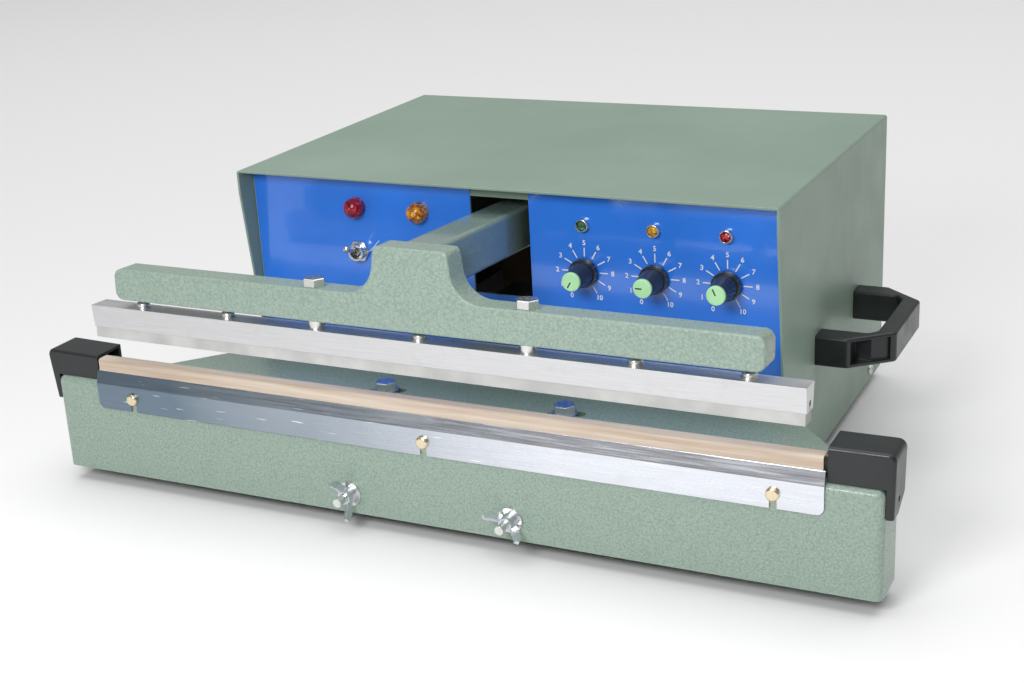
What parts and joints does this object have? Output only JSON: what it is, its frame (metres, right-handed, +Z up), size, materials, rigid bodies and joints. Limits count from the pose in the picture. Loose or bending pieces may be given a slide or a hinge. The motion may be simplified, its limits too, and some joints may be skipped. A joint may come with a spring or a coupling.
{
  "type": "impulse heat sealer",
  "caption": "Table-top automatic impulse heat sealer: a magnet-driven T arm presses a bar on a cloth-covered heating jaw.",
  "frame": {"origin": "on the table, under the middle of the bounding box", "axes": "+X to the right as seen from the front, +Y to the back, +Z up"},
  "size_m": [0.6035, 0.402, 0.209],
  "materials": {
    "green_hammertone": "hammertone enamel",
    "green_enamel": "satin enamel",
    "zinc_sheet": "zinc plated",
    "bright_fasteners": "bright nickel plate",
    "aluminium": "mill finish",
    "brass": "plain",
    "heating_alloy": "oxidised ribbon",
    "coated_glass_cloth": "fluoropolymer coated",
    "silicone_rubber": "matt",
    "black_rubber": "matt",
    "black_plastic": "moulded",
    "green_cap_plastic": "satin",
    "blue_face_sheet": "glossy polycarbonate",
    "red_lens": "clear tinted",
    "amber_lens": "clear tinted",
    "lamp_bezels": "small indicator lamps",
    "spring_steel": "oiled",
    "laminated_iron": "varnished laminations",
    "wound_copper": "enamelled wire",
    "circuit_board": "glass epoxy"
  },
  "bodies": {
    "machine": {"amber_pilot_lamp": "amber_lens", "back_panel": "zinc_sheet", "base_tray": "zinc_sheet", "clamp_screws": "bright_fasteners", "control_board": "circuit_board", "control_overlay": "blue_face_sheet", "cover_screws": "green_enamel", "element_terminals": "brass", "foot_switch_socket": "black_plastic", "front_clamp_strip": "aluminium", "front_panel": "green_enamel", "fuse_holder": "black_plastic", "handle_screws": "bright_fasteners", "heater_bar": "aluminium", "heating_element": "heating_alloy", "housing_cover": "green_enamel", "indicator_leds": "lamp_bezels", "insulating_tape": "coated_glass_cloth", "jaw_bracket": "zinc_sheet", "jaw_frame": "green_hammertone", "jaw_shelf": "green_hammertone", "left_end_cap": "black_plastic", "lower_cloth": "coated_glass_cloth", "magnet_coil": "wound_copper", "magnet_yoke": "laminated_iron", "pivot_bracket": "zinc_sheet", "pivot_bushes": "brass", "potentiometers": "circuit_board", "power_inlet": "black_plastic", "rear_clamp_strip": "zinc_sheet", "red_pilot_lamp": "red_lens", "return_spring": "spring_steel", "right_end_cap": "black_plastic", "rubber_feet": "black_rubber", "shelf_bolts": "bright_fasteners", "side_handles": "black_plastic", "stop_pad": "black_rubber", "table_studs": "bright_fasteners", "toggle_body": "black_plastic", "toggle_nut": "bright_fasteners", "transformer_coil": "wound_copper", "transformer_core": "laminated_iron"},
    "arm": {"arm_tube": "green_hammertone", "t_head": "green_hammertone", "press_bar": "aluminium", "rubber_strip": "silicone_rubber", "head_bolts": "bright_fasteners", "bar_screws": "bright_fasteners", "pivot_shaft": "bright_fasteners", "arm_pin": "bright_fasteners"},
    "magnet_plunger": {"plunger": "bright_fasteners"},
    "left_wing_nut": {"left_wing_nut": "bright_fasteners"},
    "right_wing_nut": {"right_wing_nut": "bright_fasteners"},
    "toggle_lever": {"toggle_lever": "bright_fasteners"},
    "sealing_timer": {"sealing_timer_knob": "black_plastic", "sealing_knob_cap": "green_cap_plastic"},
    "cooling_timer": {"cooling_timer_knob": "black_plastic", "cooling_knob_cap": "green_cap_plastic"},
    "recycle_timer": {"recycle_timer_knob": "black_plastic", "recycle_knob_cap": "green_cap_plastic"}
  },
  "joints": [
    {"name": "arm_hinge", "type": "hinge", "parent": "machine", "child": "arm", "pos_m": [0.00285, 0.123, 0.164], "axis": [1, 0, 0], "range_deg": [0, 3.5], "stiffness_Nm_per_rad": 24, "springref_deg": -28.65, "deforming": ["return_spring"]},
    {"name": "plunger_slide", "type": "slide", "parent": "machine", "child": "magnet_plunger", "axis": [0, 0, -1], "range_m": [0, 0.0065]},
    {"name": "left_wing_nut_turn", "type": "hinge", "parent": "machine", "child": "left_wing_nut", "pos_m": [-0.05595, -0.189, 0.025], "axis": [0, -1, 0], "continuous": true},
    {"name": "right_wing_nut_turn", "type": "hinge", "parent": "machine", "child": "right_wing_nut", "pos_m": [0.06165, -0.189, 0.025], "axis": [0, -1, 0], "continuous": true},
    {"name": "toggle_throw", "type": "hinge", "parent": "machine", "child": "toggle_lever", "pos_m": [-0.10915, -0.0639, 0.1522], "axis": [1, 0, 0], "range_deg": [0, 44]},
    {"name": "sealing_timer_turn", "type": "hinge", "parent": "machine", "child": "sealing_timer", "pos_m": [0.16385, -0.067, 0.1513], "axis": [0, 1, 0], "range_deg": [-126, 174]},
    {"name": "cooling_timer_turn", "type": "hinge", "parent": "machine", "child": "cooling_timer", "pos_m": [0.11435, -0.067, 0.1513], "axis": [0, 1, 0], "range_deg": [-60, 240]},
    {"name": "recycle_timer_turn", "type": "hinge", "parent": "machine", "child": "recycle_timer", "pos_m": [0.06435, -0.067, 0.1513], "axis": [0, 1, 0], "range_deg": [0, 300]}
  ],
  "couplings": [
    {"joint": "plunger_slide", "follows": "arm_hinge", "m_per_rad": 0.1048}
  ]
}
